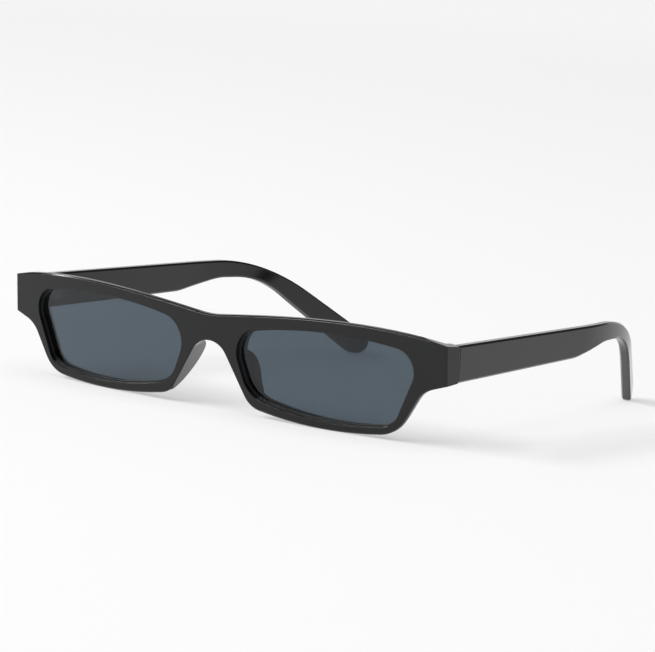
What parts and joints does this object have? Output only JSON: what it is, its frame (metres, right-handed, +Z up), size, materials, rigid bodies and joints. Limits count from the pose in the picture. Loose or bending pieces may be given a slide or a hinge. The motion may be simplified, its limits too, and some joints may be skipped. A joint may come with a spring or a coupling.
{
  "type": "sunglasses",
  "caption": "Narrow rectangle sunglasses with a bowed one-piece front, tinted lenses in grooved openings, moulded nose pads and hooked folding temples on concealed screw hinges.",
  "frame": {"origin": "middle of the footprint, on the flat surface that the open sunglasses stand on", "axes": "+Z up; the front faces -Y and the temples run back along +Y; the wearer's left is +X"},
  "size_m": [0.144, 0.1312, 0.0284],
  "materials": {
    "frame_plastic": "polished black injection-moulded plastic",
    "temple_plastic": "polished black injection-moulded plastic",
    "tinted_lens": "clear smoke blue-grey tint, polished",
    "hinge_metal": "nickel silver, lightly polished",
    "screw_metal": "stainless steel"
  },
  "bodies": {
    "front": {"frame_front": "frame_plastic", "lens_left": "tinted_lens", "lens_right": "tinted_lens", "front_hinge_left": "hinge_metal", "front_hinge_right": "hinge_metal", "hinge_screw_left": "screw_metal", "hinge_screw_right": "screw_metal"},
    "left_temple": {"temple_left": "temple_plastic", "temple_hinge_left": "hinge_metal"},
    "right_temple": {"temple_right": "temple_plastic", "temple_hinge_right": "hinge_metal"}
  },
  "joints": [
    {"name": "fold_left_temple", "type": "hinge", "parent": "front", "child": "left_temple", "pos_m": [0.0676, -0.05327, 0.02114], "axis": [0, 0, 1], "range_deg": [0, 79]},
    {"name": "fold_right_temple", "type": "hinge", "parent": "front", "child": "right_temple", "pos_m": [-0.0676, -0.05327, 0.02114], "axis": [0, 0, -1], "range_deg": [0, 72]}
  ]
}
